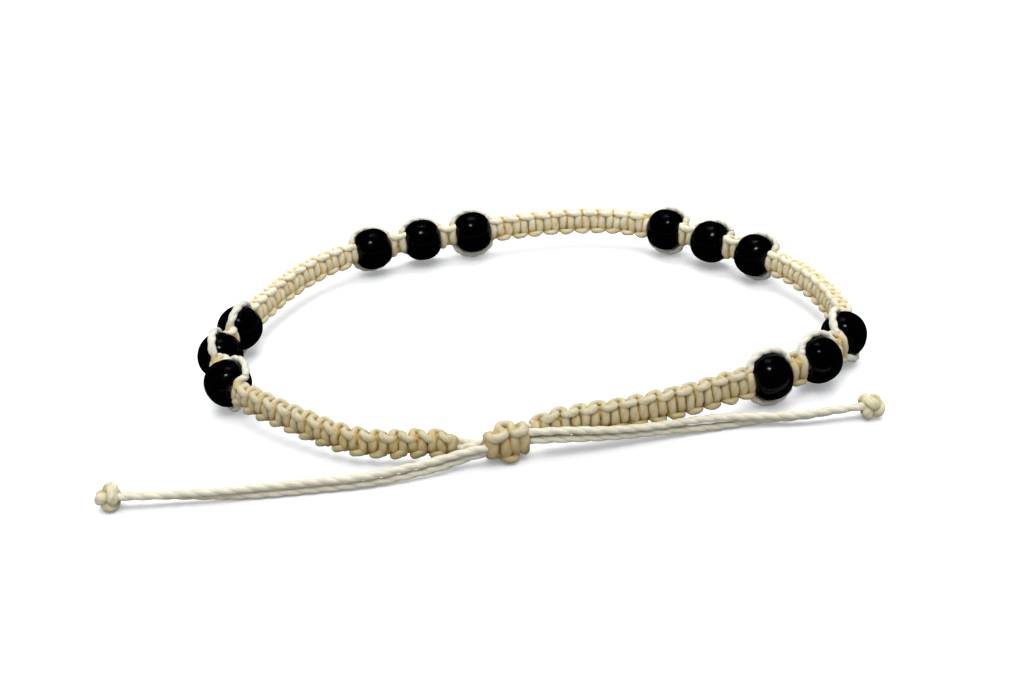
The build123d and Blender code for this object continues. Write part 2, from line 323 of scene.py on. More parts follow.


# %% [markdown]
# ## Waxed cord
#
# The cord is polyester with a coat of wax, cream when clean. Light goes a little way into the wax, so the
# places between the cords are not grey but a warm honey brown. The finish could be a plain cream with the
# renderer's own shadows, but these come out cold. So warm shade is painted into the colour, which is mixed
# from three things: painted shade in the groove between the two yarns, painted shade by the depth inside a
# knot that was stored with each point, and slow patches, because hands and wax leave no cord even. Two tints
# go over it: one darkens the cord towards the front, near the sliding knot, and the other is painted shade
# that darkens the underside towards the table. Fine fibres run along the yarns: a noise that is stretched
# along V, laid round the cord without a seam by its sine and cosine, drives a shallow bump.

# %% Waxed cord finish
white = (1, 1, 1, 1)
patch_scale = 420.0
fibre_stretch = (9.0, 9.0, 22.0)  # twice across the cord, and along it
front_darkening_from, front_darkening_to = 0.002, -0.02  # Y in metres, towards the sliding knot
underside_from, underside_to = 0.0048, 0.0024  # Z in metres, down to the table


def waxed_cord(name, body, patch_and_groove_shade, deep, front_darkening=(1, 1, 1), painted_underside_shade=(1, 1, 1)):
    """A waxed cord, from its colours on the body, in the grooves and deep in a knot.

    Front darkening is a tint that darkens the cord towards the front, near the sliding knot. Patch and groove
    shade is the tone of the slow patches and also the painted shade in the grooves, deep is the painted shade
    deep in a knot, and painted underside shade darkens the underside towards the table.
    """
    material, tree, shader = new_finish(name)
    tints = (body, patch_and_groove_shade, deep, front_darkening, painted_underside_shade)
    body, patch_and_groove_shade, deep, front_darkening, painted_underside_shade = ((*tint, 1) for tint in tints)
    uv = node(tree, "ShaderNodeUVMap", uv_map="skin").outputs["UV"]
    split = node(tree, "ShaderNodeSeparateXYZ", {"Vector": uv}).outputs
    angle = maths(tree, "MULTIPLY", split["X"], 2 * math.pi)
    cosine, sine = maths(tree, "COSINE", angle), maths(tree, "SINE", angle)
    crest = maths(tree, "ABSOLUTE", cosine)
    # painted shade in the groove between the two yarns: this share mixes in the patch and groove shade
    groove = mapped(tree, crest, 0.0, 0.5, 0.5, 0.0, interpolation_type="SMOOTHSTEP")
    # the depth inside a knot sets how much painted knot shade goes in
    depth = node(tree, "ShaderNodeAttribute", attribute_name="depth").outputs["Fac"]
    place = node(tree, "ShaderNodeTexCoord").outputs["Object"]
    patch = mapped(tree, noise(tree, place, patch_scale, 3.0), 0.35, 0.7, 0.0, 0.35)
    around = node(tree, "ShaderNodeCombineXYZ", {"X": cosine, "Y": sine, "Z": split["Y"]}).outputs[0]
    fibre = noise(tree, times(tree, around, fibre_stretch), 1.0, 2.0)

    worn = mixed(tree, patch, body, patch_and_groove_shade)
    # painted shade: the groove share, then the knot depth towards the deep colour
    shaded = mixed(tree, depth, mixed(tree, groove, worn, patch_and_groove_shade), deep)
    axes = node(tree, "ShaderNodeSeparateXYZ", {"Vector": place}).outputs
    # a tint that darkens the cord towards the front, near the sliding knot
    near = mapped(tree, axes["Y"], front_darkening_from, front_darkening_to)
    # painted shade: the cord grows darker towards the table on its underside
    low = mapped(tree, axes["Z"], underside_from, underside_to)
    tinted = times(tree, shaded, mixed(tree, near, white, front_darkening))
    tinted = times(tree, tinted, mixed(tree, low, white, painted_underside_shade))
    streaks = mapped(tree, fibre, 0.3, 0.7, 0.82, 1.1)
    colour = node(tree, "ShaderNodeVectorMath", {0: tinted, "Scale": streaks}, operation="SCALE").outputs[0]
    bump = node(tree, "ShaderNodeBump", {"Height": fibre, "Strength": 0.5, "Distance": 0.00006}).outputs[0]
    fill(tree, shader, {"Base Color": colour, "Normal": bump, "Roughness": 0.55, "Specular IOR Level": 0.3,
                        "Sheen Weight": 0.15, "Sheen Roughness": 0.4})
    return material


# colours: body, the patch tone that is also the painted groove shade, and the painted knot shade
band_finish = waxed_cord("waxed cord, knotted", (0.82, 0.785, 0.63), (0.70, 0.57, 0.31), (0.70, 0.52, 0.19),
                         front_darkening=(0.70, 0.675, 0.60), painted_underside_shade=(0.90, 0.82, 0.62))
tail_finish = waxed_cord("waxed cord, loose", (0.81, 0.785, 0.665), (0.56, 0.50, 0.34), (0.40, 0.29, 0.10),
                         front_darkening=(0.90, 0.88, 0.83))
bright_finish = waxed_cord("waxed cord, clean", (0.74, 0.72, 0.61), (0.52, 0.48, 0.35), (0.52, 0.42, 0.20))
knot_finish = waxed_cord("waxed cord, end knots", (0.70, 0.65, 0.47), (0.50, 0.42, 0.21), (0.40, 0.29, 0.10))
print("cord finishes", [material.name for material in (band_finish, tail_finish, bright_finish, knot_finish)])

# %% [markdown]
# ## Loose tails
#
# Two strands leave the sliding knot to the left and two to the right, one over the other, in long easy
# curves. The lower one touches the table about half way, and both rise a little to the small knot at their
# end. Each strand follows a smooth NURBS line with the route's own points as its control points. The twisted
# skin then follows the points that Blender reads from that line.

# %% Routes of the tails
tail_routes = {
    "left_upper": [(-5.2, -30.35, 3.0), (-8.2, -30.5, 2.6), (-11.2, -31.0, 2.05), (-15.0, -32.1, 1.85),
                   (-20.0, -33.4, 1.7), (-26.0, -33.8, 1.6), (-32.0, -34.2, 1.6), (-37.5, -34.9, 1.7),
                   (-42.5, -35.1, 1.75), (-46.8, -35.2, 1.8), (-50.3, -35.1, 1.9)],
    "left_lower": [(-5.2, -29.9, 2.05), (-8.2, -30.1, 1.55), (-11.2, -31.1, 1.0), (-15.0, -32.2, 0.8),
                   (-20.0, -33.3, 0.6), (-26.0, -33.7, 0.5), (-32.0, -34.2, 0.5), (-37.5, -34.4, 0.7),
                   (-42.5, -34.2, 1.0), (-46.8, -34.3, 1.3), (-50.3, -34.2, 1.4)],
    "right_upper": [(-2.4, -28.5, 3.5), (0.9, -29.1, 3.95), (4.9, -28.7, 3.6), (8.5, -28.1, 3.0),
                    (12.0, -27.3, 2.55), (16.0, -26.3, 2.25), (20.0, -25.1, 1.95), (24.0, -24.5, 1.7),
                    (28.0, -24.8, 1.75), (32.5, -25.1, 1.8), (37.0, -24.3, 1.85), (41.3, -23.9, 1.9)],
    "right_lower": [(-2.4, -28.6, 2.4), (0.9, -29.1, 2.8), (4.9, -28.6, 2.4), (8.5, -27.9, 1.9),
                    (12.0, -27.0, 1.5), (16.0, -26.1, 1.2), (20.0, -25.2, 0.7), (24.0, -24.4, 0.5),
                    (28.0, -23.9, 0.75), (32.5, -24.2, 1.0), (37.0, -23.5, 1.2), (41.3, -23.0, 1.4)],
}


def nurbs_line(name, route):
    """Points of the open NURBS spline of order 3 whose control points are the route's."""
    curve = bpy.data.curves.new(name, "CURVE")
    curve.dimensions = "3D"
    curve.resolution_u = 24
    strand = curve.splines.new("NURBS")
    strand.points.add(len(route) - 1)
    strand.points.foreach_set("co", np.column_stack([np.array(route) * mm, np.ones(len(route))]).ravel())
    strand.order_u = 3
    strand.use_endpoint_u = True
    guide = bpy.data.objects.new(name, curve)
    line = bpy.data.meshes.new_from_object(guide)
    points = np.empty(len(line.vertices) * 3)
    line.vertices.foreach_get("co", points)
    bpy.data.objects.remove(guide)
    bpy.data.meshes.remove(line)
    return points.reshape(-1, 3) / mm


tail_lines = {name: evenly(nurbs_line(name, route), 0.2) for name, route in tail_routes.items()}
for name, line in tail_lines.items():
    print(name, "is", round(lengths_along(line)[-1], 1), "mm long")

# %% [markdown]
# The two strands of a tail look alike, but they are two cords: each has its own lay, and starts its twist at
# another angle, so that their grooves don't match up like a printed pattern.

# %% Tail strands
tail_width = 1.05
tail_lay, lay_step, turn_step = 4.1, 0.3, 1.3
upright = np.array([0.0, 0.0, 1.0])
tail_cords = {}
for number, (name, line) in enumerate(tail_lines.items()):
    skin = twisted_skin(line, np.tile(upright, (len(line), 1)), tail_width, squeeze=0.94, spread=1.06,
                        lay=tail_lay + lay_step * (number % 2), start_turn=turn_step * number, groove=0.24)
    cord = cords_mesh(f"strand_{name}", [skin])
    dress(cord, tail_finish, f"tail_{name}")
    tail_cords[name] = cord

# %% [markdown]
# ## The loop's line
#
# Everything on the anklet is strung on one closed line, and its place is counted in millimetres from the
# middle of the sliding knot, round by the left. The line is steered by twenty-two guides and brought to the
# length of all that is strung on it: the knots' count times their length, and the beads' own pitch. Near the
# sliding knot the line sinks, because that knot rests on the table, while elsewhere the beads carry the band
# clear of it.

# %% Places along the loop
half_knot = 1.18
band_half_knots = {"front_left": 27, "left": 20, "back": 21, "right": 18, "front_right": 24}
bead_groups = ["left", "back_left", "back_right", "right"]
slide_length = 5.6
closure_gap_left, closure_gap_right = 3.2, 0.6
bead_reach = 2.6375  # from a bead's middle to the knot beside it
spacer_length = 2 * half_knot
bead_pitch = 2 * bead_reach + spacer_length

band_spans, bead_places = {}, {}
place = slide_length / 2 + closure_gap_left
for band, group in zip(band_half_knots, bead_groups + [None]):
    band_spans[band] = (place, place + band_half_knots[band] * half_knot)
    place = band_spans[band][1]
    if group:
        bead_places[group] = place + bead_reach + bead_pitch * np.arange(3)
        place = bead_places[group][-1] + bead_reach
loop_length = place + closure_gap_right + slide_length / 2
print("loop", round(loop_length, 2), "mm, bands",
      {band: np.round(span, 1).tolist() for band, span in band_spans.items()})

# %% The line itself
ring_height, closure_drop = 3.95, 1.45
loop_guides = [
    (-3.5, -28.0, 0.9), (-6.5, -29.5, 1.05), (-13.5, -28.0, 0.85), (-21.5, -28.5, 0.9), (-29.5, -23.0, 0.15),
    (-38.0, -16.5, 0.0), (-42.0, -7.0, 0.0), (-38.0, 4.0, 0.0), (-32.5, 16.0, 0.0), (-24.5, 23.5, 0.0),
    (-10.5, 26.5, 0.0), (4.0, 30.0, 0.0), (16.5, 29.0, 0.0), (26.5, 20.5, 0.0), (37.0, 11.5, 0.0),
    (41.5, 0.0, 0.0), (41.5, -11.0, 0.0), (35.5, -17.0, 0.0), (26.0, -20.5, 0.0), (16.0, -24.5, 0.2),
    (6.0, -26.5, 0.2), (-1.0, -27.5, 0.4)]  # x, y, and the share of the drop at the closure
loop_points = spline(loop_guides, 60, closed=True)
in_plan = np.column_stack([loop_points[:, :2], np.zeros(len(loop_points))])
loop_points[:, :2] *= loop_length / lengths_along(in_plan)[-1]
in_plan[:, :2] = loop_points[:, :2]
loop_points[:, 2] = ring_height - closure_drop * loop_points[:, 2]
loop_places = lengths_along(in_plan)


def on_loop(places):
    """Points of the loop's line at places along it, counted round and round."""
    places = np.mod(places, loop_length)
    return np.column_stack([np.interp(places, loop_places, column) for column in loop_points.T])


def outwards(places, reach=0.2):
    """Level directions out of the loop: the line's direction in plan, turned a quarter to the left."""
    along = on_loop(places + reach) - on_loop(places - reach)
    return unit(np.column_stack([-along[:, 1], along[:, 0], np.zeros(len(along))]))


def in_space(strung):
    """Points in space from columns of place along the loop, height above it, and distance outside it."""
    return on_loop(strung[:, 0]) + strung[:, 1:2] * upright + strung[:, 2:3] * outwards(strung[:, 0])


def bead_frame(place):
    """Middle of the bead at a place along the loop, the loop's direction there, and the way out of it."""
    outward = outwards(np.array([place]))[0]
    return on_loop([place])[0] * [1, 1, 0] + [0, 0, ring_height], np.cross(outward, upright), outward


for group, places in bead_places.items():
    low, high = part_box(f"bead_{group}_1")
    miss = on_loop(places)[0] - np.array((low + high) / 2) / mm
    print(group, "line passes the solid bead's middle by", np.round(miss, 2))

# %% [markdown]
# ## Square knots
#
# A square knot is two half knots, one the mirror of the other. In each half knot one working cord crosses the
# outer face of the core and the other crosses the inner face, and at both edges one hooks round the other.
# Seen along an edge, the hooks of the two cords lie in each other like the links of a chain: each starts
# high, over the one before it, and ends low, under the next. The bend of a hook comes right round onto the
# other face. So each face shows short bars down its middle, and a row of plump bumps along both edges, one
# for every two bars.
#
# The knots could be tied one by one and copied. But they repeat with the pitch of a half knot, so one hook's
# guides, shifted by the pitch and mirrored every other time, make the whole line of a working cord. The other
# cord has the same line, turned by half a turn round the core. Small random shifts, from a fixed seed, take
# away the machine look.

# %% Lines of the two working cords
hook = np.array([  # place in half knots, height, outward distance; the last two as shares of their reach
    (0.00, 0.00, 1.00), (0.00, 0.46, 0.98), (-0.04, 0.78, 0.62), (-0.14, 0.92, 0.12), (-0.18, 0.97, -0.60),
    (0.06, 1.00, -1.04), (0.48, 0.99, -1.12), (0.92, 0.93, -1.04), (1.14, 0.82, -0.62), (1.12, 0.70, -0.06),
    (1.03, 0.60, 0.50), (1.00, 0.38, 0.96)])
loose_hook = np.array([
    (0.00, 0.00, 1.00), (0.00, 0.40, 0.98), (-0.04, 0.74, 0.62), (-0.12, 0.98, 0.12), (-0.10, 1.04, -0.60),
    (0.10, 0.98, -1.06), (0.46, 0.82, -1.20), (0.88, 0.68, -1.12), (1.12, 0.60, -0.62), (1.10, 0.56, -0.06),
    (1.03, 0.50, 0.50), (1.00, 0.30, 0.95)])
lead_in = np.array([(-0.80, -0.74, 0.0), (-0.40, -0.90, 0.30), (-0.02, -0.74, 0.72), (0.00, -0.36, 0.97)])
lead_out = np.array([
    (0.00, 0.00, 1.00), (0.00, 0.40, 0.98), (0.02, 0.78, 0.70), (0.40, 0.90, 0.28), (0.80, 0.74, 0.0)])
tuck_shares = np.array([(0.35, 0.45, 1.0), (0.55, 0.80, 1.0)])  # of the last guide and of the one before it
hook_roughness = 0.035


def working_lines(hook, half_knots, pitch, height, outward, tucked, seed):
    """Guides of the two working cords of a run of half knots, as place, height and outward distance.

    Hook number n is the first hook with n added to its places, and its heights times (-1)^n. A short guide
    row leads in from the edge at the start, and another leads out at the end. Where no bead follows, the
    cord's end is tucked into the knot: the outermost guides come closer to it and to its middle.
    """
    numbers = np.arange(half_knots - 1)[:, None]
    hooks = np.repeat(hook[None], half_knots - 1, axis=0)
    hooks += np.random.default_rng(seed).normal(0, hook_roughness, hooks.shape)
    hooks[:, :, 0] += numbers
    hooks[:, :, 1] *= (-1.0) ** numbers
    side = (-1.0) ** (half_knots - 1)
    first, last = lead_in.copy(), lead_out * [1, side, 1]
    first[:2] *= tuck_shares if tucked[0] else 1
    last[-2:] *= tuck_shares[::-1] if tucked[1] else 1
    front = np.vstack([first, hooks.reshape(-1, 3), last + [half_knots - 1, 0, 0]])
    front = (front + [0.5, 0, 0]) * [pitch, height, outward]
    return front, front * [1, -1, -1]


# %% [markdown]
# A knotted piece is its two working cords with the core between them. The skin of each working cord faces
# outwards from the knot, so that it can be squeezed against the core, and every point learns how deep it lies
# below the piece's rounded outline; the cord finish paints shade by that depth. A band that meets a bead is a
# little lower there, where the cords leave it for the bead.

# %% Knotted pieces
core_spacing = 1.0
knot_squeeze, knot_spread = 0.9, 1.26  # a cord in a knot is pressed flat against the core
bump_narrowing = 0.3  # how much less it spreads where it is a bump
knot_lay, knot_groove = 4.2, 0.17  # and its twist is pulled long and shallow
dark_share = 0.34  # how far below its outline, as a share of its reach, a knot is at its darkest
light_reach, least_depth = 0.8, 0.2  # how far light gets into the ends of a run, and the depth left there
short_taper, long_taper = 0.9, 3.0
core_inset, tucked_inset = 0.05, 0.55  # of the core cords at any end of a run, and more at a tucked one


def turned_by(angle):
    """Matrix that turns rows of height and outward distance: h' = h cos + w sin, w' = w cos - h sin."""
    return np.array([[math.cos(angle), -math.sin(angle)], [math.sin(angle), math.cos(angle)]])


def depth_below(skin, places, height, outward, rolled):
    """0 on the rounded outline of a knotted piece, 1 deep inside. The outline is |h/H|^3 + |w/W|^3 = 1."""
    offset = skin - on_loop(places)[:, None]
    distances = np.sum(offset * outwards(places)[:, None], axis=2)
    section = np.abs(np.stack([offset[:, :, 2], distances], axis=-1) @ rolled.T)
    share = ((section[:, :, 0] / height) ** 3 + (section[:, :, 1] / outward) ** 3) ** (1 / 3)
    # the share of painted shade: 0 on the outline, 1 at the dark share's depth and below
    return np.clip((1.0 - share) / dark_share, 0, 1)


def knotted_piece(name, solid, start, half_knots, pitch, height, seed, outward=1.35, shift=(0, 0),
                  taper=(0, 0), taper_length=(short_taper, short_taper), tucked=(False, False), width=1.0,
                  first_side=1, core_width=1.6, climb=0.0, guide_row=hook, tied_back=False, roll=0.0):
    """A run of square knots on the loop: two working cords round two core cords, as one mesh.

    A cord faces the way in which |h|^3 + |w|^3 grows, its height h and distance w taken as shares of their
    reach. Climb raises the run by that share of the distance from its middle. A cord is widest where it is a
    bar, at height 0, and keeps its round section where it is a bump. Tied back means from its far end: place
    p becomes the run's length less p. Roll turns the whole section, in degrees, so that its outer face looks
    up.
    """
    reach_up, reach_out = height - width / 2 * knot_squeeze, outward - width / 2 * knot_squeeze
    skins, depths = [], []
    end = start + half_knots * pitch
    ends_tucked = tucked[::-1] if tied_back else tucked
    rolled = turned_by(math.radians(roll))

    def narrowing_at(from_start):
        """1 along the run, and less by the taper at each end."""
        from_ends = (from_start, end - start - from_start)
        lost = [amount * np.clip(1 - from_end / over, 0, 1)
                for amount, over, from_end in zip(taper, taper_length, from_ends)]
        return 1 - lost[0] - lost[1]

    def buried(places):
        """1 along the run, and little at its two ends, where light gets in."""
        return np.clip(np.minimum(places - start, end - places) / light_reach, least_depth, 1)[:, None]

    for guides in working_lines(guide_row, half_knots, pitch, reach_up, reach_out, ends_tucked, seed):
        line = spline(guides * [1, first_side, 1], 6)
        if tied_back:
            line[:, 0] = end - start - line[:, 0]
        narrowing = narrowing_at(line[:, 0])
        line[:, 1:] *= narrowing[:, None]
        line[:, 0] += start
        up, out = line[:, 1:2] / height, line[:, 2:3] / outward
        raised = shift[0] + climb * (line[:, 0] - (start + end) / 2)
        section = line[:, 1:] @ rolled + np.column_stack([raised, np.full_like(raised, shift[1])])
        moved = np.column_stack([line[:, 0], section])
        strung = np.column_stack([in_space(moved), up * np.abs(up), out * np.abs(out), moved[:, :1], raised,
                                  narrowing])
        even = evenly(strung, ring_spacing)
        facing = even[:, 3:5] / [height, outward] @ rolled
        faces_to = facing[:, :1] * upright + facing[:, 1:] * outwards(even[:, 5])
        spread = knot_spread - bump_narrowing * np.clip(np.abs(even[:, 3:4]) / 0.5, 0, 1)
        skin = twisted_skin(even[:, :3], faces_to, width, knot_squeeze, spread, knot_lay, seed, knot_groove)
        skins.append(skin)
        unshifted = skin - even[:, 6, None, None] * upright - shift[1] * outwards(even[:, 5])[:, None]
        depth = depth_below(unshifted, even[:, 5], height * even[:, 7:], outward * even[:, 7:], rolled)
        # painted shade by depth, less at the run's two ends
        depths.append(depth * buried(even[:, 5]))
    inset = [core_inset + tucked_inset * end_tucked for end_tucked in tucked]
    places = np.linspace(start + inset[0], end - inset[1], half_knots * 6)
    for side in (-0.5, 0.5):
        narrowing = narrowing_at(places - start)
        raised = shift[0] + climb * (places - (start + end) / 2)
        section = (side * core_spacing * narrowing)[:, None] * rolled[:1]
        section = section + np.column_stack([raised, np.full_like(places, shift[1])])
        strung = np.column_stack([in_space(np.column_stack([places, section])), narrowing, places])
        line = evenly(strung, ring_spacing * 2)
        skins.append(twisted_skin(line[:, :3], np.tile(upright, (len(line), 1)), core_width * line[:, 3:4]))
        # the core cords get the full painted shade inside the knots, less at the run's two ends
        depths.append(np.ones(skins[-1].shape[:2]) * buried(line[:, 4]))
    piece = cords_mesh(name, skins, depths)
    dress(piece, band_finish, solid)


# %% Woven bands
hug = 0.18  # how far the last knot is pushed over the end of a bead
band_reach = {"front_left": (1.74, 1.2), "left": (1.76, 1.22), "back": (1.8, 1.25), "right": (1.76, 1.22),
              "front_right": (1.9, 1.28)}  # above the core's middle, and outwards from it
band_roll = {"front_left": 10, "left": -10, "back": -10, "right": -10, "front_right": 10}
bead_taper = 0.1
free_taper = 0.05  # where no bead is
end_tapers = {"front_left": 0.25, "right": 0.25, "front_right": 0.4}  # these bands end in smaller knots
closure_reach = 0.4  # how much further the last band comes towards the sliding knot
for number, (band, half_knots) in enumerate(band_half_knots.items()):
    start, end = band_spans[band]
    before, after = band != "front_left", band != "front_right"  # whether a bead is there
    start, end = start - hug * before, end + hug * after
    end += closure_reach * (not after)
    tied_back = band == "front_left"
    knotted_piece(f"woven_{band}", f"band_{band}", start, half_knots, pitch=(end - start) / half_knots,
                  tucked=(not before, not after), seed=number + 1,
                  taper=(bead_taper if before else free_taper, end_tapers.get(band, bead_taper)),
                  taper_length=(short_taper, long_taper if band in end_tapers else short_taper),
                  guide_row=loose_hook if tied_back else hook, tied_back=tied_back,
                  height=band_reach[band][0], outward=band_reach[band][1], roll=band_roll[band])

# %% Small knots between the beads
spacer_pitch = spacer_length / 2 + hug
for number, (group, places) in enumerate(bead_places.items()):
    for gap in (0, 1):
        knotted_piece(f"spacer_{group}_{gap + 1}", f"knot_{group}_{gap + 1}", places[gap] + bead_reach - hug,
                      2, pitch=spacer_pitch, height=2.05, seed=20 + 2 * number + gap, core_width=1.9)

# %% [markdown]
# ## Beads
#
# The beads are glossy black balls, drilled through, with a small flat round each end of the hole. A ball
# could be Blender's own sphere with a hole cut in it, but a turned profile gives both at once: the outline of
# half a section, with the hole's wall as its inner side, carried round the bead's axis. The profile is
# closed, so the mesh is a ring without poles or seams.

# %% Bead profile
bead_radius = 3.0
bead_flat_radius = 1.35
bead_hole_radius = 1.0
bead_power = 2.3  # 2 would make it round
bead_shortening = 0.965


def bead_profile():
    """Closed outline in the half section, as distance along the axis and radius.

    The outside is the arc |x|^p + r^p = R^p, a ball that is a trace squarer than round, and a little shorter,
    from one flat to the other. The flats go in to the hole, and the hole's wall goes back.
    """
    flat_angle = math.asin(bead_flat_radius / bead_radius)
    angle = np.linspace(flat_angle, math.pi - flat_angle, 40)
    power = 2 / bead_power
    along = -np.sign(np.cos(angle)) * np.abs(np.cos(angle)) ** power * bead_radius * bead_shortening
    outside = np.column_stack([along, np.abs(np.sin(angle)) ** power * bead_radius])
    end = outside[-1, 0]
    rim = np.array([(end, 1.24), (end - 0.03, 1.12), (end - 0.12, 1.04)])
    wall = np.column_stack([np.linspace(end - 0.3, -end + 0.3, 6), np.full(6, bead_hole_radius)])
    return spline(np.vstack([outside, rim, wall, rim[::-1] * [-1, 1]]), 2, closed=True)[:-1]


profile = bead_profile()
print("bead profile has", len(profile), "points and is", round(np.ptp(profile[:, 0]), 2), "mm long")

# %% [markdown]
# Each bead is the same profile, turned round the loop's direction at its place. Real ones are not quite
# equal: each is made a hair longer or shorter, and its radius has a very shallow wave, which makes the
# highlights uneven.

# %% Glossy black finish
def glossy_black(name):
    """Black glass with an uneven glaze: nearly no colour, a smeared gloss, and a faint slow bump."""
    material, tree, shader = new_finish(name)
    place = node(tree, "ShaderNodeTexCoord").outputs["Object"]
    waves, cloud = noise(tree, place, 700.0, 2.0), noise(tree, place, 350.0, 4.0)
    tint = mixed(tree, cloud, (0.0001, 0.0001, 0.00015, 1), (0.0004, 0.0004, 0.0007, 1))
    smear = mapped(tree, cloud, 0.35, 0.7, 0.09, 0.19)
    bump = node(tree, "ShaderNodeBump", {"Height": waves, "Strength": 0.25, "Distance": 0.00008}).outputs[0]
    fill(tree, shader, {"Base Color": tint, "Roughness": smear, "Normal": bump, "Specular IOR Level": 0.15,
                        "Specular Tint": (0.8, 0.86, 1.0, 1)})
    return material


bead_finish = glossy_black("glossy black bead")

# %% Beads on the loop
bead_sides = 56
length_spread, wave_depth = 0.012, 0.004  # as shares of the bead's length and radius
i, j = np.meshgrid(np.arange(len(profile)), np.arange(bead_sides), indexing="ij")
here, ahead, after = i * bead_sides, (i + 1) % len(profile) * bead_sides, (j + 1) % bead_sides
bead_quads = np.stack([here + j, here + after, ahead + after, ahead + j], axis=-1).reshape(-1, 4)
bead_uv = np.stack([np.stack([i, i, i + 1, i + 1], axis=-1) / len(profile),
                    np.stack([j, j + 1, j + 1, j], axis=-1) / bead_sides], axis=-1).reshape(-1, 2)
angle = np.linspace(0, 2 * np.pi, bead_sides, endpoint=False)[None]
chance = np.random.default_rng(7)
for group, places in bead_places.items():
    for number, place in enumerate(places, start=1):
        middle, forward, outward = bead_frame(place)
        length_change, phase = chance.normal(0, length_spread), chance.uniform(0, 6.28)
        radius = profile[:, 1:] * (1 + wave_depth * np.sin(3 * angle + phase))
        along = profile[:, :1] * (1 + length_change) * np.ones_like(angle)
        points = middle + along[:, :, None] * forward + (radius * np.cos(angle))[:, :, None] * upright
        points = points + (radius * np.sin(angle))[:, :, None] * outward
        bead = make_mesh(f"black_bead_{group}_{number}", points.reshape(-1, 3), [bead_quads], bead_uv,
                         np.zeros(points.shape[:2]))
        dress(bead, bead_finish, f"bead_{group}_{number}")

# %% [markdown]
# ## Cords over and under the beads
#
# At each bead the working cords leave the knot, one over the bead and one under it, and go into the next
# knot. They are tight, so each is an arc pressed flat on the bead and sunk in by a hair. They don't all lie
# on its crown: handling pushes some of them to the inside or the outside of the anklet. So each arc gets a
# lean, the angle by which its middle is turned round the bead's axis, while its two ends stay in the knots.

# %% Side cords
side_width, side_squeeze = 1.12, 0.82  # they are pressed flat against the beads
side_sink = 0.06
side_radius = bead_radius - side_sink + side_width * side_squeeze / 2
arc_ends, arc_guides = (148, 32), 13  # in degrees round the bead
into_knot = np.array([(-1.0, 0.8), (-0.55, 1.2), (-0.1, 1.5)])  # distance from the bead's seat, and height
lean_from, lean_over = 1.0, 1.2
hidden_below, hidden_over = 2.0, 0.7
upper_leans = {"left": (-44, 10, -6), "back_left": (54, 52, 50), "back_right": (50, 54, 52),
               "right": (-27, -22, -16)}
lower_leans = {"left": (0, 0, 0), "back_left": (10, 34, -8), "back_right": (-6, 34, 0),
               "right": (30, -30, 12)}


def side_cord(place, side, lean):
    """Skin of a cord that passes a bead, and its depth: in from one knot, round the bead, out to the other.

    The middle is an arc of radius R. The lean is full there, and fades to nothing with the distance r from
    the bead's axis, as (r - 1.0) / 1.2. The depth, which the cord finish paints as shade, grows from 0 at r =
    2 to 1 at r = 1.3, inside the knots.
    """
    angle = np.radians(np.linspace(*arc_ends, arc_guides))
    arc = np.column_stack([side_radius * np.cos(angle), side_radius * np.sin(angle)])
    start = into_knot - [bead_reach, 0]
    flat = spline(np.vstack([start, arc[1:-1], start[::-1] * [-1, 1]]), 8)
    turn = np.radians(lean) * np.clip((flat[:, 1:] - lean_from) / lean_over, 0, 1)
    middle, forward, outward = bead_frame(place)
    spoke = np.cos(turn) * upright * side + np.sin(turn) * outward
    line = middle - flat[:, :1] * forward + flat[:, 1:] * spoke
    both = evenly(np.column_stack([line, spoke, flat[:, 1]]), ring_spacing)
    skin = twisted_skin(both[:, :3], both[:, 3:6], side_width, side_squeeze, lay=2.9, start_turn=place)
    depth = np.clip((hidden_below - both[:, 6:]) / hidden_over, 0, 1)
    return skin, depth * np.ones(cord_sides)


for group, places in bead_places.items():
    for side_name, side, leans in (("upper", 1, upper_leans), ("lower", -1, lower_leans)):
        skins, depths = zip(*[side_cord(place, side, lean) for place, lean in zip(places, leans[group])])
        piece = cords_mesh(f"{side_name}_arches_{group}", skins, depths)
        dress(piece, bright_finish, f"{side_name}_cord_{group}")

# %% [markdown]
# ## Core cords
#
# The two core cords show only where nothing is tied round them: in the narrow gaps beside the beads and on
# both sides of the sliding knot. On the left of it they are twisted lightly round each other.

# %% Core cords
def core_skins(start, end, turns, spacing=core_spacing, width=cord_width):
    """The two core cords from one place to another, turned round each other by a number of turns."""
    share = np.linspace(0, 1, 60)
    places = start + (end - start) * share
    skins = []
    for side in (-1, 1):
        height = side * spacing / 2 * np.cos(2 * np.pi * turns * share)
        outward = side * spacing / 2 * np.sin(2 * np.pi * turns * share)
        line = evenly(in_space(np.column_stack([places, height, outward])), ring_spacing)
        skins.append(twisted_skin(line, np.tile(upright, (len(line), 1)), width, start_turn=side))
    return skins


thread_overlap, band_overlap, slide_overlap = 0.2, 0.3, 0.5  # how far cores run on into knots
bare_spacing, bare_turns = 0.8, 0.45
slide_start = loop_length - slide_length / 2
core_runs = {f"threading_{group}": (f"thread_{group}", places[0] - bead_reach - thread_overlap,
                                    places[-1] + bead_reach + thread_overlap, 0.0)
             for group, places in bead_places.items()}
core_runs["bare_core_left"] = ("core_closure_left", slide_length / 2 - slide_overlap,
                               band_spans["front_left"][0] + band_overlap, bare_turns)
core_runs["bare_core_right"] = ("core_closure_right", slide_start - closure_gap_right - band_overlap,
                                slide_start + band_overlap, 0.0)
for name, (solid, start, end, turns) in core_runs.items():
    bare = name.startswith("bare")
    piece = cords_mesh(name, core_skins(start, end, turns, *((bare_spacing, tail_width) if bare else ())))
    dress(piece, tail_finish, solid)

# %% [markdown]
# ## Sliding knot
#
# Two more square knots are tied round both ends of the loop and the tails at once, so the anklet can be
# opened by pulling. They are the same knots as in the bands, only wider, because four strands more go through
# them.

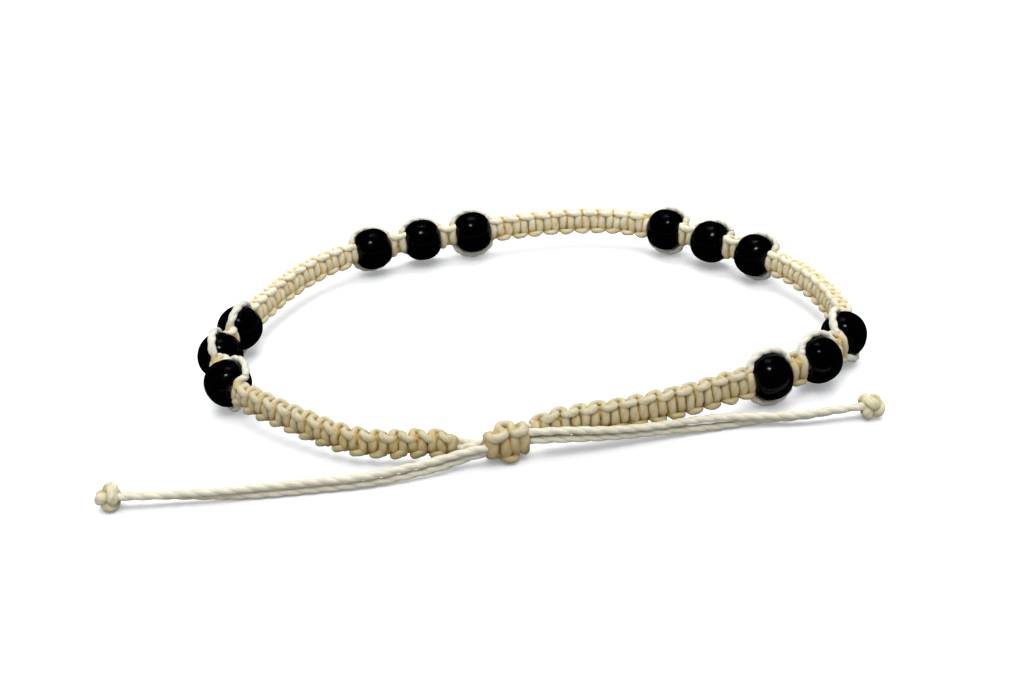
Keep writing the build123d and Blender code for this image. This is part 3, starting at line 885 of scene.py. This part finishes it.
# %% Sliding knot
slide_half_knots = 4
slide_inset, pitch_cut = 0.35, 0.08  # its cords bulge past its ends
knotted_piece("slide", "sliding_knot", slide_inset - slide_length / 2, slide_half_knots,
              pitch=slide_length / slide_half_knots - pitch_cut, height=2.3, outward=1.75, shift=(-0.2, 0.6),
              tucked=(True, True), seed=40, width=1.25, first_side=-1, core_width=2.6, climb=0.12)

# %% [markdown]
# ## End knots
#
# Each pair of tail strands ends in one overhand knot, pulled tight into a small ball, so that the ends can't
# slip back through the sliding knot. Tied with two strands it shows pairs of cords that bend over each other.
# It could be a ball with grooves, but an overhand knot is a trefoil, and a trefoil has a short formula. So
# the two strands follow it side by side, and the place where the line closes is hidden inside.

# %% End knots
knot_scale, knot_depth = 0.36, 0.6  # of the trefoil's plane figure, and of its waves out of that plane
strand_offset = 0.42
end_knot_radius = 1.7
outer_share, shade_share = 0.95, 0.4  # of that radius: where the shade begins, and over how much it grows
end_knot_cord = 1.2  # the strands bulge where they bend so sharply


def end_knot_skins(middle, heading, turn):
    """Two cords side by side along a trefoil that stands upright and faces to the side of the heading.

    With t from 0 to 2 pi the trefoil is a = sin t + 2 sin 2t, b = cos t - 2 cos 2t in its plane, turned by an
    angle, and c = -sin 3t out of it. The cords lie beside it, out of the plane by the strand offset.
    """
    t = np.linspace(0, 2 * np.pi, 200)
    flat = knot_scale * np.column_stack([np.sin(t) + 2 * np.sin(2 * t), np.cos(t) - 2 * np.cos(2 * t)])
    flat = flat @ turned_by(turn)
    sideways = np.cross(upright, heading)
    skins = []
    for apart in (-strand_offset, strand_offset):
        out_of_plane = (-knot_depth * np.sin(3 * t) + apart)[:, None]
        spoke = flat[:, :1] * heading + flat[:, 1:] * upright + out_of_plane * sideways
        line = evenly(np.column_stack([middle + spoke, spoke]), ring_spacing)
        skins.append(twisted_skin(line[:, :3], line[:, 3:], end_knot_cord, squeeze=0.95, spread=1.15, lay=4.0,
                                  start_turn=apart, groove=0.18))
    return skins


for side, turn in (("left", 0.5), ("right", 2.6)):
    upper, lower = tail_lines[f"{side}_upper"], tail_lines[f"{side}_lower"]
    low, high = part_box(f"end_knot_{side}")
    middle = np.array((low + high) / 2) / mm
    heading = unit((upper[-1] - upper[-12] + lower[-1] - lower[-12]) * [1, 1, 0])
    skins = end_knot_skins(middle, heading, turn)
    from_middle = [np.linalg.norm(skin - middle, axis=2) / end_knot_radius for skin in skins]
    # painted shade, growing towards the knot's middle
    depths = [np.clip((outer_share - share) / shade_share, 0, 1) for share in from_middle]
    lowest = min(skin[:, :, 2].min() for skin in skins)
    skins = [skin - [0, 0, lowest] for skin in skins]  # it rests on the table
    knot = cords_mesh(f"stopper_{side}", skins, depths)
    dress(knot, knot_finish, f"end_knot_{side}")

for name, cord in tail_cords.items():
    line = tail_lines[name]

# %% [markdown]
# ## Table and light
#
# The anklet lies on a white table under large soft lights, so bright that the table has no edge. Black gloss
# mirrors whatever is round it, and a white sky, a white table and large boxes would turn the beads grey. So
# what a mirroring ray meets is set apart from the rest: the sky and the table are dark for it, it doesn't see
# the two large boxes, and two small boxes that only glossy surfaces see make the beads' highlights. For the
# camera the table also glows a little, which lets faint shadows run out into white.

# %% Table
table_mesh = bpy.data.meshes.new("table")
table_mesh.from_pydata([(-3, -3, 0), (3, -3, 0), (3, 3, 0), (-3, 3, 0)], [], [(0, 1, 2, 3)])
table = bpy.data.objects.new("table", table_mesh)
scene.collection.objects.link(table)
table_glow = 0.15
table_finish, table_tree, table_shader = new_finish("white table")
rays = node(table_tree, "ShaderNodeLightPath").outputs
lit = mixed(table_tree, rays["Is Camera Ray"], (0.34, 0.34, 0.34, 1), (0.95, 0.96, 0.97, 1))
mirrored = mixed(table_tree, rays["Is Glossy Ray"], lit, (0.01, 0.01, 0.01, 1))
glow = maths(table_tree, "MULTIPLY", rays["Is Camera Ray"], table_glow)
fill(table_tree, table_shader, {"Base Color": mirrored, "Emission Strength": glow, "Emission Color": white,
                                "Roughness": 0.9, "Specular IOR Level": 0.0})
table_mesh.materials.append(table_finish)
table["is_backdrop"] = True

# %% Sky and lamps
sky = bpy.data.worlds.new("soft sky")
sky.use_nodes = True
scene.world = sky
background = sky.node_tree.nodes["Background"]
mirror_ray = node(sky.node_tree, "ShaderNodeLightPath").outputs["Is Glossy Ray"]
strength = mapped(sky.node_tree, mirror_ray, 0.0, 1.0, 0.78, 0.006)
fill(sky.node_tree, background, {"Strength": strength, "Color": (0.96, 0.98, 1.0, 1)})
lamp_distance = 0.9


def soft_box(name, elevation, size, power):
    """An area lamp on an arc over the anklet, at an elevation in degrees from the camera's side."""
    lamp = bpy.data.lights.new(name, "AREA")
    lamp.shape = "RECTANGLE"
    lamp.size, lamp.size_y = size
    lamp.energy = power
    tilt = math.radians(elevation)
    towards = np.array([0, -math.cos(tilt), math.sin(tilt)])
    sideways = [1, 0, 0]
    place = np.eye(4)
    place[:3, :3] = np.column_stack([sideways, np.cross(towards, sideways), towards])
    place[:3, 3] = towards * lamp_distance
    made = bpy.data.objects.new(name, lamp)
    scene.collection.objects.link(made)
    made.matrix_world = Matrix(place.tolist())
    return made


for box in (("front box", 68, (0.7, 0.45), 3.3), ("back box", 112, (0.8, 0.5), 5.3)):
    soft_box(*box).visible_glossy = False
for glint in (("front glint", 68, (0.14, 0.04), 4.5), ("back glint", 112, (0.22, 0.05), 2.2)):
    soft_box(*glint).visible_diffuse = False
scene.view_settings.view_transform = "Standard"

# %% [markdown]
# ## Size
#
# The dressed anklet has to stay as large as its solids. The last line prints the dressed anklet's size.

# %% Sizes and the end
low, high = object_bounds()
print("dressed size in mm", [round(x / mm, 1) for x in high - low])
